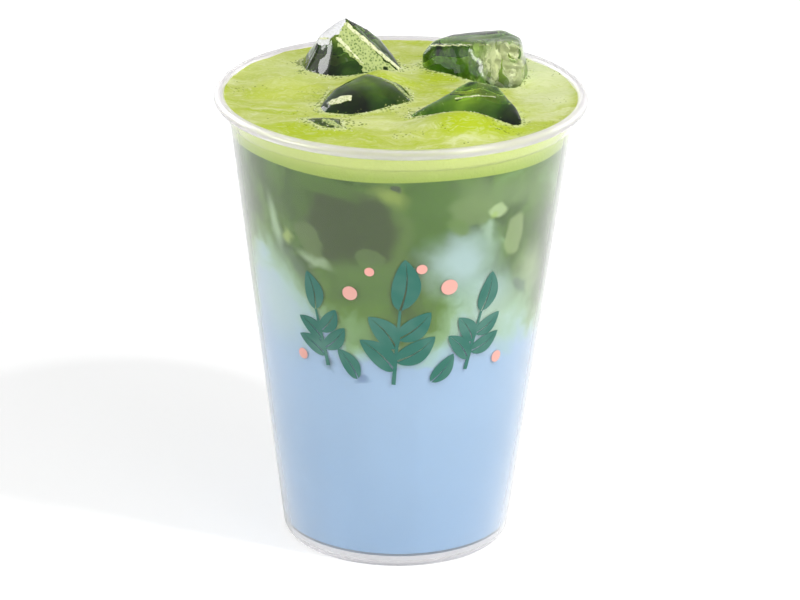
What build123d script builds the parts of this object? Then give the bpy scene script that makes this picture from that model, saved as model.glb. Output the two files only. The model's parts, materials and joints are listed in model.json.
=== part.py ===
from build123d import *

import os
from math import exp, sin
from typing import NamedTuple

# An iced matcha latte in its clear plastic cup: the cup, the blue milk, the green matcha over it,
# the foam and the ice that stands out of the foam. Millimetres, +Z up.
# The origin is the middle of the ring that the cup stands on. -Y is the cup's front.

# The cup: a thin-walled tapered tumbler with a rolled rim, as for 500 ml
CUP_HEIGHT = 119.5
WALL = 0.6
FOOT_RADIUS = 28.7
BASE_RADIUS = 29.1  # where the line of the wall meets the table
STEP_RADIUS = 43.5  # outside of the wall, just under the stacking step
STEP_HEIGHT = 113.0
STEP_OUT = 0.7
STEP_RISE = 0.4
COLLAR_RADIUS = 45.4  # outside of the collar, where the rim curls out of it
CURL_RADIUS = 1.35
CURL_START, CURL_TURN = 180, -290  # degrees: over the top, out, and back under itself
CURL_MIDDLE_RADIUS = COLLAR_RADIUS - WALL + CURL_RADIUS
CURL_MIDDLE_HEIGHT = CUP_HEIGHT - CURL_RADIUS
FOOT_RING_HEIGHT = 1.2
FOOT_RING_WIDTH = 1.4
FLOOR_UNDERSIDE = 3.2
FLOOR_TOP = 4.0

# The layers of the drink
MILK_HEIGHT = 69.0  # where milk and matcha meet, on average
FOAM_FLOOR = 109.7
FOAM_LEVEL = 118.6
SHEET_REACH = 50.0  # half the side of the square sheets that part the layers
SHEET_POINTS = 25
SHEET_FLEX = 0.05  # how closely a sheet follows its function
OVER_THE_TOP = 20.0  # how far the room for the drink is taken past the rim before it is cut

ICE_ROUNDING = 3.0
WORN_ROUNDING = 1.2


class Swell(NamedTuple):
    """A rounded rise, or with a negative height a hollow, in one of the layers."""

    x: float
    y: float
    height: float
    spread: float


class Ice(NamedTuple):
    """A half-melted ice block: its sides, its middle, its turns about X, Y and Z, and the flat worn on it."""

    sides: tuple
    middle: tuple
    turns: tuple
    worn_towards: tuple
    worn_at: float


MILK_SWELLS = (
    Swell(0, -36, -10, 13),
    Swell(19, -35, 17, 8),
    Swell(-34, -14, 6, 14),
    Swell(34, -18, -4, 12),
    Swell(5, 30, 6, 16),
)

FOAM_SWELLS = (
    Swell(15, -28, 3.6, 6.5),
    Swell(-5, 8, 3.4, 5.0),
    Swell(12, -2, 1.8, 6.0),
    Swell(-26, 14, 0.8, 5.0),
)

ICE = {
    "ice_1": Ice((24.5, 21.0, 26.0), (-13.2, 22.0, 113.0), (-5, -44, 5), (1, -1, 0), 13.0),
    "ice_2": Ice((22.0, 22.0, 27.5), (20.0, 18.5, 113.7), (-10, 0, 19), (0, -1, 1), 14.0),
    "ice_3": Ice((25.0, 21.0, 22.0), (-12.4, -5.8, 110.0), (-12, -18, 26), (-1, -0.8, 1), 15.0),
    "ice_4": Ice((26.5, 22.5, 22.5), (18.0, -17.7, 110.9), (-34, -33, -2), (-0.8, -0.5, 0.4), 15.7),
    "ice_5": Ice((14.0, 8.5, 12.0), (-19.8, -26.0, 113.2), (16, 10, -36), (0, 1, 1), 5.6),
}


def wall_radius(height):
    """The outside of the cup's tapered wall at a height."""
    return BASE_RADIUS + (STEP_RADIUS - BASE_RADIUS) * height / STEP_HEIGHT


def inner_line():
    """The inside of the cup from the edge of its floor to where the rim curls."""
    return [
        (wall_radius(FLOOR_TOP) - WALL, FLOOR_TOP),
        (STEP_RADIUS - WALL, STEP_HEIGHT),
        (STEP_RADIUS + STEP_OUT - WALL, STEP_HEIGHT + STEP_RISE),
        (COLLAR_RADIUS - WALL, CURL_MIDDLE_HEIGHT),
    ]


def outer_line():
    """The outside of the cup from the table to where the rim curls."""
    return [
        (FOOT_RADIUS, 0),
        (wall_radius(FOOT_RING_HEIGHT), FOOT_RING_HEIGHT),
        (STEP_RADIUS, STEP_HEIGHT),
        (STEP_RADIUS + STEP_OUT, STEP_HEIGHT + STEP_RISE),
        (COLLAR_RADIUS, CURL_MIDDLE_HEIGHT),
    ]


def foot_line():
    """The underside of the floor and the inside of the foot, from the axis to the table."""
    skirt = wall_radius(FLOOR_UNDERSIDE) - WALL
    ring = FOOT_RADIUS - FOOT_RING_WIDTH
    return [
        (0, FLOOR_TOP),
        (0, FLOOR_UNDERSIDE),
        (skirt, FLOOR_UNDERSIDE),
        (skirt, FOOT_RING_HEIGHT),
        (ring, FOOT_RING_HEIGHT),
        (ring, 0),
    ]


def turned(section):
    """Spins a half section, drawn as radius and height, round the cup's axis."""
    return revolve(Plane.XZ * section, axis=Axis.Z)


def cup():
    """The floor, foot, wall and collar in one piece with the rolled rim."""
    corners = outer_line() + inner_line()[::-1] + foot_line()
    shell = make_face(Polyline(*corners, close=True))
    middle = (CURL_MIDDLE_RADIUS, CURL_MIDDLE_HEIGHT)
    curl = CenterArc(middle, CURL_RADIUS - WALL / 2, CURL_START, CURL_TURN)
    return turned(shell + trace(curl, WALL))


def room():
    """All the space inside the cup, taken on upwards past the rim."""
    top = CUP_HEIGHT + OVER_THE_TOP
    last_radius = COLLAR_RADIUS - WALL
    corners = [(0, FLOOR_TOP)] + inner_line() + [(last_radius, top), (0, top)]
    return turned(make_face(Polyline(*corners, close=True)))


def swollen(x, y, level, swells):
    """The height of a surface at a place, with every swell added to its level."""
    return level + sum(
        s.height * exp(-((x - s.x) ** 2 + (y - s.y) ** 2) / (2 * s.spread**2)) for s in swells
    )


def milk_surface(x, y):
    """Where milk turns to matcha: slow waves, a dip at the front and a plume beside it."""
    waves = 2.2 * sin(x / 8 + 1) * sin(y / 10)
    return swollen(x, y, MILK_HEIGHT, MILK_SWELLS) + waves


def foam_surface(x, y):
    """The top of the foam, which climbs against the ice."""
    return swollen(x, y, FOAM_LEVEL, FOAM_SWELLS) + 0.25 * sin(x / 5) * sin(y / 6 + 2)


def under(surface, depth):
    """Everything below a surface, down to a depth that clears what it cuts."""
    steps = [SHEET_REACH * (2 * i / (SHEET_POINTS - 1) - 1) for i in range(SHEET_POINTS)]
    points = [[Vector(x, y, surface(x, y)) for y in steps] for x in steps]
    sheet = Face.make_surface_from_array_of_points(points, tol=SHEET_FLEX)
    return Solid.extrude(sheet, Vector(0, 0, -depth))


def ice_block(block):
    """A rounded block with one edge or corner worn flat, turned and put in its place."""
    away = Vector(*block.worn_towards).normalized()
    flat = Plane(origin=away * block.worn_at, z_dir=away)
    body = fillet(Box(*block.sides).edges(), ICE_ROUNDING)
    body = split(body, bisect_by=flat, keep=Keep.BOTTOM)
    outwards = Axis((0, 0, 0), tuple(away))
    worn_face = body.faces().filter_by(outwards).sort_by(outwards)[-1]
    body = fillet(worn_face.edges(), WORN_ROUNDING)
    about_x, about_y, about_z = block.turns
    return Pos(*block.middle) * Rot(Z=about_z) * Rot(Y=about_y) * Rot(X=about_x) * body


def build():
    """Every piece by the name of its node."""
    ice = {name: ice_block(block) for name, block in ICE.items()}
    drink = room() & under(foam_surface, 2 * CUP_HEIGHT)
    milk_side = under(milk_surface, 2 * CUP_HEIGHT)
    foam_side = Pos(0, 0, FOAM_FLOOR + CUP_HEIGHT) * Box(2 * SHEET_REACH, 2 * SHEET_REACH, 2 * CUP_HEIGHT)
    pieces = {
        "cup": cup(),
        "milk": drink & milk_side,
        "matcha": drink - milk_side - foam_side,
        "foam": drink & foam_side,
    }
    for name in ("matcha", "foam"):
        for block in ice.values():
            pieces[name] = pieces[name] - block
    return pieces | ice


def main():
    """Writes each piece to a STEP file named for its node."""
    os.makedirs("parts", exist_ok=True)
    for name, piece in build().items():
        export_step(piece, f"parts/{name}.step")


main()
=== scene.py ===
"""An iced matcha latte in its clear plastic cup: the finishes and fine shapes, built round the fixed parts."""

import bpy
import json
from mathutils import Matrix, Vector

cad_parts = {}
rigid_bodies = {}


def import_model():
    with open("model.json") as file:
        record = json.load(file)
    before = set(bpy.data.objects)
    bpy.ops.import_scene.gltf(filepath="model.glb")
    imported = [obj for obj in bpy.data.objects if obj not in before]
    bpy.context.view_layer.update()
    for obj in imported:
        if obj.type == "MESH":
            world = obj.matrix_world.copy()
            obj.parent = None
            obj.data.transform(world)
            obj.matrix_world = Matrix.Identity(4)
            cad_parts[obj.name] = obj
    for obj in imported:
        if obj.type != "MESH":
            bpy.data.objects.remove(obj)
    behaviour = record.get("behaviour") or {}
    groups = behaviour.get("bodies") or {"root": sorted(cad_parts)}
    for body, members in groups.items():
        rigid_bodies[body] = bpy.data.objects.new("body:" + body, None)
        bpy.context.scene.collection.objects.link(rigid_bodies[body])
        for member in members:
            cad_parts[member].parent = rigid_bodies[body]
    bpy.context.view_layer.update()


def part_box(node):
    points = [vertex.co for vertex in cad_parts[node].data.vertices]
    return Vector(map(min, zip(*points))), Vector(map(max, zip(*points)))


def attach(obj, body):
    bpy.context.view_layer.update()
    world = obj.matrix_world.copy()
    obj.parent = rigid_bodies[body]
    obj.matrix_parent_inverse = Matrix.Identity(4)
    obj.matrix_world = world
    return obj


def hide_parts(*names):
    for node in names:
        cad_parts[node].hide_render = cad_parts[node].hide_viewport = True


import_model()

import json
import logging
import random
from dataclasses import dataclass
from enum import Enum
from math import atan2, cos, exp, hypot, pi, radians, sin
from typing import Callable, Optional, Sequence

import bmesh
import bpy
from mathutils import Matrix, Vector, noise
from mathutils.bvhtree import BVHTree

MM = 0.001
AROUND = 240  # steps round the cup, so that its outline stays smooth
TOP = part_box("cup")[1][2] / MM
RIM_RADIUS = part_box("cup")[1][0] / MM
log = logging.getLogger("matcha_latte")

Height = Callable[[float, float], float]


def linear(hex_colour: str) -> tuple[float, float, float, float]:
    """Turns an sRGB colour to the linear one that shaders take.

    Args:
        hex_colour: six hexadecimal digits.

    Returns:
        Red, green, blue and an alpha of one.
    """
    parts = [int(hex_colour[i : i + 2], 16) / 255 for i in (0, 2, 4)]
    red, green, blue = [p / 12.92 if p <= 0.04045 else ((p + 0.055) / 1.055) ** 2.4 for p in parts]
    return red, green, blue, 1.0


def add(tree: bpy.types.NodeTree, kind: str, inputs: Optional[dict] = None, **settings: object) -> bpy.types.Node:
    """Adds one shader node with its settings and links.

    Args:
        tree: the node tree it joins.
        kind: the node's type without the word ShaderNode.
        inputs: for each input, by name or number, its value or the output that feeds it.
        settings: the node's own properties.

    Returns:
        The new node.
    """
    made = tree.nodes.new("ShaderNode" + kind)
    for name, value in settings.items():
        setattr(made, name, value)
    for name, value in (inputs or {}).items():
        if isinstance(value, bpy.types.NodeSocket):
            tree.links.new(value, made.inputs[name])
        else:
            made.inputs[name].default_value = value
    return made


def new_material(name: str) -> tuple[bpy.types.Material, bpy.types.NodeTree, bpy.types.Node]:
    """Starts an empty material.

    Args:
        name: what the material is.

    Returns:
        The material, its node tree and its output node.
    """
    material = bpy.data.materials.new(name)
    material.use_nodes = True
    material.node_tree.nodes.clear()
    return material, material.node_tree, add(material.node_tree, "OutputMaterial")


def clear_to_lamps(tree: bpy.types.NodeTree, surface: bpy.types.NodeSocket) -> bpy.types.NodeSocket:
    """Lets lamplight pass a clear surface, so that what lies behind it is lit.

    Args:
        tree: the material's nodes.
        surface: the shader of the clear surface.

    Returns:
        The shader to show.
    """
    path = add(tree, "LightPath")
    open_way = add(tree, "BsdfTransparent", {"Color": (0.97, 0.97, 0.97, 1)})
    return add(tree, "MixShader", {0: path.outputs["Is Shadow Ray"], 1: surface, 2: open_way.outputs[0]}).outputs[0]


def finished(name: str, mesh: bmesh.types.BMesh, material: bpy.types.Material) -> bpy.types.Object:
    """Makes a smooth-shaded object of a mesh drawn in millimetres.

    Args:
        name: the piece's name.
        mesh: its shape, which is used up.
        material: its finish.

    Returns:
        The object, at the origin and in metres.
    """
    bmesh.ops.scale(mesh, vec=(MM, MM, MM), verts=mesh.verts)
    for face in mesh.faces:
        face.smooth = True
    data = bpy.data.meshes.new(name)
    mesh.to_mesh(data)
    mesh.free()
    data.set_sharp_from_angle(angle=radians(45))
    piece = bpy.data.objects.new(name, data)
    bpy.context.scene.collection.objects.link(piece)
    data.materials.append(material)
    return piece


def carried(piece: bpy.types.Object, slot: str, *nodes: str) -> None:
    """Fixes a piece to the cup, hides the parts it stands for and reports it.

    Args:
        piece: the piece.
        slot: not used.
        nodes: the parts it stands for.
    """
    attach(piece, "root")
    if nodes:
        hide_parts(*nodes)
    log.info("%s: %d faces", piece.name, len(piece.data.polygons))


def apply_modifiers(piece: bpy.types.Object) -> None:
    """Turns a piece's live modifiers into plain mesh."""
    seen = piece.evaluated_get(bpy.context.evaluated_depsgraph_get())
    data = bpy.data.meshes.new_from_object(seen)
    old = piece.data
    piece.modifiers.clear()
    piece.data = data
    bpy.data.meshes.remove(old)


@dataclass(frozen=True)
class CupShape:
    """The sizes of the cup's wall in millimetres, as the solid parts have them."""

    base_radius: float = 29.1
    foot_radius: float = 28.7
    step_radius: float = 43.5
    step_height: float = 113.0
    step_out: float = 0.7
    step_rise: float = 0.4
    collar_radius: float = 45.4
    wall: float = 0.6
    curl: float = 1.35
    floor_under: float = 3.2
    floor_top: float = 4.0
    ring_height: float = 1.2
    ring_width: float = 1.4

    def radius(self, height: float) -> float:
        """The outside of the wall at a height, up to the rim."""
        if height <= self.step_height:
            return self.base_radius + (self.step_radius - self.base_radius) * height / self.step_height
        low, rise = self.step_radius + self.step_out, self.step_height + self.step_rise
        if height <= rise:
            return self.step_radius + self.step_out * (height - self.step_height) / self.step_rise
        share = (height - rise) / (TOP - self.curl - rise)
        return low + (self.collar_radius - low) * min(share, 1.0)

    def inside(self, height: float) -> float:
        """The inside of the wall at a height."""
        return self.radius(height) - self.wall

    def curl_line(self, steps: int = 18) -> list[tuple[float, float]]:
        """The outline of the rolled rim, over the top and back under itself.

        Args:
            steps: points along each of its two faces.

        Returns:
            Radius and height of each point, from the inner wall round to the outer one.
        """
        middle = Vector((self.collar_radius - self.wall + self.curl, TOP - self.curl))
        outer, inner = [], []
        for step in range(steps + 1):
            turn = pi - radians(290) * step / steps
            way = Vector((cos(turn), sin(turn)))
            outer.append(tuple(middle + way * self.curl))
            inner.append(tuple(middle + way * (self.curl - self.wall)))
        return outer + inner[::-1]

    def section(self) -> list[tuple[float, float]]:
        """The closed outline of half the cup, as radius and height."""
        skirt = self.radius(self.floor_under) - self.wall
        ring = self.foot_radius - self.ring_width
        rise = self.step_height + self.step_rise
        fillet = 1.2
        return [
            (0.0, self.floor_top),
            (self.inside(self.floor_top) - fillet, self.floor_top),
            (self.inside(self.floor_top) - 0.3 * fillet, self.floor_top + 0.3 * fillet),
            (self.inside(self.floor_top + fillet), self.floor_top + fillet),
            *[(self.inside(z), z) for z in (30.0, 60.0, 90.0)],
            (self.step_radius - self.wall, self.step_height),
            (self.step_radius + self.step_out - self.wall, rise),
            *self.curl_line(),
            (self.step_radius + self.step_out, rise + 0.1),
            (self.step_radius + 0.75 * self.step_out, rise - 0.25),
            (self.step_radius, self.step_height),
            *[(self.radius(z), z) for z in (90.0, 60.0, 30.0, self.ring_height + 0.3)],
            (self.foot_radius + 0.1, 0.5),
            (self.foot_radius - 0.4, 0.0),
            (ring + 0.4, 0.0),
            (ring, 0.4),
            (ring, self.ring_height),
            (skirt, self.ring_height + 0.6),
            (skirt, self.floor_under),
            (0.0, self.floor_under),
        ]


SHAPE = CupShape()


def spun(section: Sequence[tuple[float, float]]) -> bmesh.types.BMesh:
    """Spins an outline of radius and height round the cup's axis.

    Args:
        section: the outline, which starts and ends on the axis.

    Returns:
        The closed mesh in millimetres.
    """
    mesh = bmesh.new()
    corners = [mesh.verts.new((radius, 0, height)) for radius, height in section]
    edges = [mesh.edges.new(pair) for pair in zip(corners, corners[1:])]
    bmesh.ops.spin(
        mesh, geom=corners + edges, cent=(0, 0, 0), axis=(0, 0, 1), angle=2 * pi, steps=AROUND, use_merge=True
    )
    bmesh.ops.remove_doubles(mesh, verts=mesh.verts, dist=1e-4)
    bmesh.ops.recalc_face_normals(mesh, faces=mesh.faces)
    return mesh


def plug(low: Height, high: Height, rings: int, rows: int, reach: float = 0.12) -> bmesh.types.BMesh:
    """A filling between two uneven surfaces, out to just inside the wall's plastic.

    Args:
        low: the height of its underside at each place.
        high: the height of its top at each place.
        rings: steps from the axis to the wall.
        rows: steps up the wall.
        reach: how far it goes into the wall.

    Returns:
        The closed mesh in millimetres.
    """
    flat = [(step / rings, 0.0) for step in range(rings + 1)]
    side = [(1.0, step / rows) for step in range(1, rows)]
    lid = [(step / rings, 1.0) for step in range(rings, -1, -1)]
    mesh = spun(flat + side + lid)
    for corner in mesh.verts:
        share, lift = hypot(corner.co.x, corner.co.y), corner.co.z
        way = Vector((corner.co.x, corner.co.y)) / share if share > 1e-6 else Vector((0, 0))
        guess = SHAPE.inside(high(0, 0) if lift > 0.5 else low(0, 0))
        for _ in range(3):
            place = way * share * guess
            height = low(place.x, place.y) * (1 - lift) + high(place.x, place.y) * lift
            guess = SHAPE.inside(min(height, TOP - SHAPE.curl)) + reach
        place = way * share * guess
        corner.co = (place.x, place.y, height)
    bmesh.ops.recalc_face_normals(mesh, faces=mesh.faces)
    return mesh


@dataclass(frozen=True)
class Swell:
    """A rounded rise or hollow in a surface, in millimetres."""

    x: float
    y: float
    height: float
    spread: float
    stretch: float = 1.0

    def at(self, x: float, y: float) -> float:
        """How much it adds at a place."""
        along, across = (x - self.x) / self.stretch, y - self.y
        return self.height * exp(-(along**2 + across**2) / (2 * self.spread**2))


@dataclass(frozen=True)
class Polypropylene:
    """Clear injection-moulded polypropylene: glossy, faintly milky, whitest where the wall is seen edge on."""

    name: str
    clarity: float
    roughness: float
    haze: float
    thick: str
    thin: str

    def build(self) -> bpy.types.Material:
        """Makes the material."""
        material, tree, out = new_material(self.name)
        place = add(tree, "TexCoord").outputs["Object"]
        waves = add(tree, "TexNoise", {"Vector": place, "Scale": 55.0, "Detail": 1.0})
        bump = add(tree, "Bump", {"Height": waves.outputs[0], "Strength": 0.06, "Distance": 0.002})
        cloud = add(tree, "Mix", {0: waves.outputs[0], 6: linear(self.thick), 7: linear(self.thin)}, data_type="RGBA")
        plastic = add(
            tree,
            "BsdfPrincipled",
            {
                "Base Color": cloud.outputs[2],
                "Roughness": self.roughness,
                "IOR": 1.49,
                "Transmission Weight": self.clarity,
                "Specular IOR Level": 0.18,
                "Coat Weight": self.haze,
                "Coat Roughness": 0.2,
                "Coat IOR": 1.3,
                "Sheen Weight": self.haze,
                "Sheen Roughness": 0.34,
                "Normal": bump.outputs[0],
            },
        )
        tree.links.new(clear_to_lamps(tree, plastic.outputs[0]), out.inputs[0])
        return material


@dataclass(frozen=True)
class Wisp:
    """A patch in the drink against the wall: a stray cloud, or ice or a clot that presses on the plastic."""

    angle: float  # degrees round from the front
    height: float
    half_width: float  # mm along the wall
    half_height: float
    tilt: float  # degrees
    colour: str
    strength: float
    softness: float  # 0.2 is a crisp edge and 1 fades all the way


@dataclass(frozen=True)
class MarbledDrink:
    """Green tea poured over blue milk, mixed where they meet in slow billows and thin wisps.

    The milk is nearly opaque.
    """

    name: str
    gloss: float  # low, as the plastic lies wet against it

    ladder = ((0.0, "3A5C08"), (0.3, "5C822A"), (0.55, "86AB76"), (0.78, "9FC0BA"), (1.0, "9EB9D2"))
    meeting = 67.5  # height of the middle of the mixing, mm
    depth = 24.0  # how far it takes to mix, mm
    rises = ((-57, 15, 22), (-30, 9, 6), (27, 12, 9), (50, 12, 5), (120, 20, 8), (180, 18, -4), (-120, 20, -3))
    wisps = (
        Wisp(35, 104, 18, 5, 0, "76925A", 0.7, 0.9),
        Wisp(8, 100, 11, 11, -10, "47700F", 0.85, 0.45),
        Wisp(-15.5, 94.4, 15.4, 13.0, 0, "5E7C32", 0.7, 0.14),
        Wisp(-18, 95.4, 13.4, 11.6, 0, "364A16", 0.9, 0.2),
        Wisp(-11, 88.5, 4.2, 3.4, 20, "5E7A3C", 0.7, 0.2),
        Wisp(-27, 106.4, 9, 3.0, -8, "507420", 0.85, 0.4),
        Wisp(-4, 106.5, 4.5, 3.0, -20, "93A84A", 0.7, 0.9),
        Wisp(-50, 93, 2.4, 7, 12, "A9C59C", 0.8, 0.8),
        Wisp(-43.5, 90.6, 1.8, 2.6, -20, "A9C06A", 0.8, 0.8),
        Wisp(-34, 91.5, 2.6, 5.8, 25, "637C42", 0.8, 0.35),
        Wisp(-31, 85.5, 5, 1.6, -25, "A3BB95", 0.75, 0.8),
        Wisp(-9, 81.5, 16, 6, 0, "587C30", 0.8, 0.6),
        Wisp(23, 87, 10.5, 8.0, 15, "A9C2C0", 0.95, 0.9),
        Wisp(36, 77, 9, 7, -20, "A9C4C4", 0.8, 1.0),
        Wisp(33, 94, 1.3, 4.5, 20, "A2BDA4", 0.7, 0.9),
        Wisp(26, 101, 7, 4.5, 0, "728E50", 0.75, 0.3),
        Wisp(20.5, 96.5, 5, 2.6, -25, "638538", 0.85, 0.35),
        Wisp(36.2, 99, 2.9, 2.4, -30, "ABC28C", 0.85, 0.35),
        Wisp(34.5, 98, 1.3, 1.6, -30, "9DBA5E", 0.7, 0.7),
        Wisp(45.5, 90.8, 3.4, 5.6, 0, "8CA26A", 0.8, 0.25),
        Wisp(58, 80, 6, 7, 10, "A9BE90", 0.7, 0.9),
        Wisp(-1.5, 108.6, 1.7, 0.8, -40, "3F4D33", 0.9, 0.5),
        Wisp(-52, 72, 12, 14, 0, "B0C6BE", 0.7, 1.0),
        Wisp(42, 70, 14, 9, 0, "ABC4B0", 0.65, 1.0),
        Wisp(-28, 57.7, 2.4, 1.3, 20, "5D7A8C", 0.6, 0.7),
        Wisp(-13, 54.4, 2.8, 1.0, 0, "4E6C93", 0.6, 0.7),
        Wisp(52, 76.2, 3.4, 1.6, -50, "566F63", 0.6, 0.6),
        Wisp(100, 97, 10, 9, 0, "445A26", 0.85, 0.3),
        Wisp(150, 88, 9, 8, 20, "A6C0BA", 0.85, 1.0),
        Wisp(178, 98, 11, 8, 0, "517824", 0.8, 0.45),
        Wisp(-120, 96, 12, 10, 0, "445A26", 0.85, 0.3),
        Wisp(-152, 86, 8, 6, -15, "A6C0BA", 0.85, 1.0),
        Wisp(-95, 84, 5, 6, 10, "8CA26A", 0.7, 0.6),
    )

    def stirred(self, tree: bpy.types.NodeTree, place: bpy.types.NodeSocket, scale: float, shift: float) -> bpy.types.NodeSocket:
        """Places pushed about by slow noise, which curls whatever is drawn at them.

        Args:
            tree: the material's nodes.
            place: object coordinates.
            scale: curls in each metre.
            shift: how far the noise pushes at most, in metres.

        Returns:
            The new places.
        """
        slow = add(tree, "TexNoise", {"Vector": place, "Scale": scale, "Detail": 3.0})
        push = add(tree, "VectorMath", {0: slow.outputs["Color"], 1: (0.5, 0.5, 0.5)}, operation="SUBTRACT")
        shove = add(tree, "VectorMath", {0: push.outputs[0], "Scale": shift}, operation="SCALE")
        return add(tree, "VectorMath", {0: place, 1: shove.outputs[0]}, operation="ADD").outputs[0]

    def wrapped(self, tree: bpy.types.NodeTree, place: bpy.types.NodeSocket) -> tuple[bpy.types.NodeSocket, bpy.types.NodeSocket]:
        """A place as the angle from the front in radians, and the height in millimetres."""
        parts = add(tree, "SeparateXYZ", {0: place})
        forward = add(tree, "Math", {0: parts.outputs[1], 1: -1.0}, operation="MULTIPLY")
        around = add(tree, "Math", {0: parts.outputs[0], 1: forward.outputs[0]}, operation="ARCTAN2")
        up = add(tree, "Math", {0: parts.outputs[2], 1: 1 / MM}, operation="MULTIPLY")
        return around.outputs[0], up.outputs[0]

    def turned(self, tree: bpy.types.NodeTree, around: bpy.types.NodeSocket, angle: float) -> bpy.types.NodeSocket:
        """Radians from a given angle, never more than half a turn."""
        apart = add(tree, "Math", {0: around, 1: radians(angle)}, operation="SUBTRACT")
        return add(tree, "Math", {0: apart.outputs[0], 1: pi, 2: -pi}, operation="WRAP").outputs[0]

    def rise(self, tree: bpy.types.NodeTree, around: bpy.types.NodeSocket, angle: float, width: float, height: float) -> bpy.types.NodeSocket:
        """A smooth bump of the meeting line round one angle.

        Args:
            tree: the material's nodes.
            around: the angle from the front, in radians.
            angle: where the bump is, in degrees.
            width: how wide it is, in degrees.
            height: how high it is, in millimetres.

        Returns:
            Its height there.
        """
        share = add(tree, "Math", {0: self.turned(tree, around, angle), 1: 1 / radians(width)}, operation="MULTIPLY")
        square = add(tree, "Math", {0: share.outputs[0], 1: share.outputs[0]}, operation="MULTIPLY")
        fall = add(tree, "Math", {0: square.outputs[0], 1: -1.0}, operation="MULTIPLY")
        soft = add(tree, "Math", {0: fall.outputs[0]}, operation="EXPONENT")
        return add(tree, "Math", {0: soft.outputs[0], 1: height}, operation="MULTIPLY").outputs[0]

    def patched(
        self,
        tree: bpy.types.NodeTree,
        colour: bpy.types.NodeSocket,
        around: bpy.types.NodeSocket,
        up: bpy.types.NodeSocket,
        wisp: Wisp,
    ) -> bpy.types.NodeSocket:
        """Lays one patch over the colour so far.

        Args:
            tree: the material's nodes.
            colour: the colour so far.
            around: the angle from the front, in radians.
            up: the height in millimetres.
            wisp: the patch.

        Returns:
            The colour with the patch.
        """
        across = add(tree, "Math", {0: self.turned(tree, around, wisp.angle), 1: 40.0}, operation="MULTIPLY")
        above = add(tree, "Math", {0: up, 1: -wisp.height}, operation="ADD")
        flat = add(tree, "CombineXYZ", {0: across.outputs[0], 1: above.outputs[0]})
        spun_back = add(
            tree,
            "Mapping",
            {
                "Vector": flat.outputs[0],
                "Rotation": (0, 0, radians(wisp.tilt)),
                "Scale": (wisp.half_width, wisp.half_height, 1),
            },
            vector_type="TEXTURE",
        )
        far = add(tree, "VectorMath", {0: spun_back.outputs[0]}, operation="LENGTH")
        mask = add(
            tree,
            "MapRange",
            {
                "Value": far.outputs["Value"],
                "From Min": 1 + wisp.softness / 2,
                "From Max": 1 - wisp.softness * 0.9,
                "To Max": wisp.strength,
            },
            interpolation_type="SMOOTHSTEP",
        )
        mixed = add(tree, "Mix", {0: mask.outputs[0], 6: colour, 7: linear(wisp.colour)}, data_type="RGBA")
        return mixed.outputs[2]

    def build(self) -> bpy.types.Material:
        """Makes the material."""
        material, tree, out = new_material(self.name)
        place = add(tree, "TexCoord").outputs["Object"]
        warped = self.stirred(tree, place, 70.0, 0.016)
        around, up = self.wrapped(tree, warped)
        line = add(tree, "Math", {0: self.meeting, 1: 0.0}, operation="ADD").outputs[0]
        for angle, width, height in self.rises:
            bump = self.rise(tree, around, angle, width, height)
            line = add(tree, "Math", {0: line, 1: bump}, operation="ADD").outputs[0]
        under = add(tree, "Math", {0: line, 1: up}, operation="SUBTRACT")
        mixing = add(tree, "Math", {0: under.outputs[0], 1: 1 / self.depth, 2: 0.5}, operation="MULTIPLY_ADD")
        total = add(tree, "Math", {0: mixing.outputs[0], 1: 0.1}, operation="MAXIMUM")
        billow = add(tree, "TexNoise", {"Vector": warped, "Scale": 75.0, "Detail": 4.0, "Distortion": 0.5})
        ruffle = add(tree, "Math", {0: billow.outputs[0], 1: 1.5, 2: -0.75}, operation="MULTIPLY_ADD")
        nearby = add(tree, "MapRange", {"Value": up, "From Min": 50.0, "From Max": 62.0})
        swirl = add(
            tree, "Math", {0: ruffle.outputs[0], 1: nearby.outputs[0], 2: total.outputs[0]}, operation="MULTIPLY_ADD"
        )
        colours = add(tree, "ValToRGB", {0: swirl.outputs[0]})
        ramp = colours.color_ramp
        while len(ramp.elements) < len(self.ladder):
            ramp.elements.new(0.5)
        for element, (at, colour) in zip(ramp.elements, self.ladder):
            element.position = at
            element.color = linear(colour)
        low = add(tree, "MapRange", {"Value": up, "From Min": 46.0, "From Max": 4.0, "To Max": 0.9})
        shown = add(tree, "Mix", {0: low.outputs[0], 6: colours.outputs[0], 7: linear("93B1CE")}, data_type="RGBA").outputs[2]
        around, up = self.wrapped(tree, self.stirred(tree, place, 120.0, 0.008))
        for wisp in self.wisps:
            shown = self.patched(tree, shown, around, up, wisp)
        liquid = add(
            tree,
            "BsdfPrincipled",
            {
                "Base Color": shown,
                "Roughness": 0.4,
                "IOR": 1.34,
                "Specular IOR Level": self.gloss,
            },
        )
        tree.links.new(liquid.outputs[0], out.inputs[0])
        return material


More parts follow.
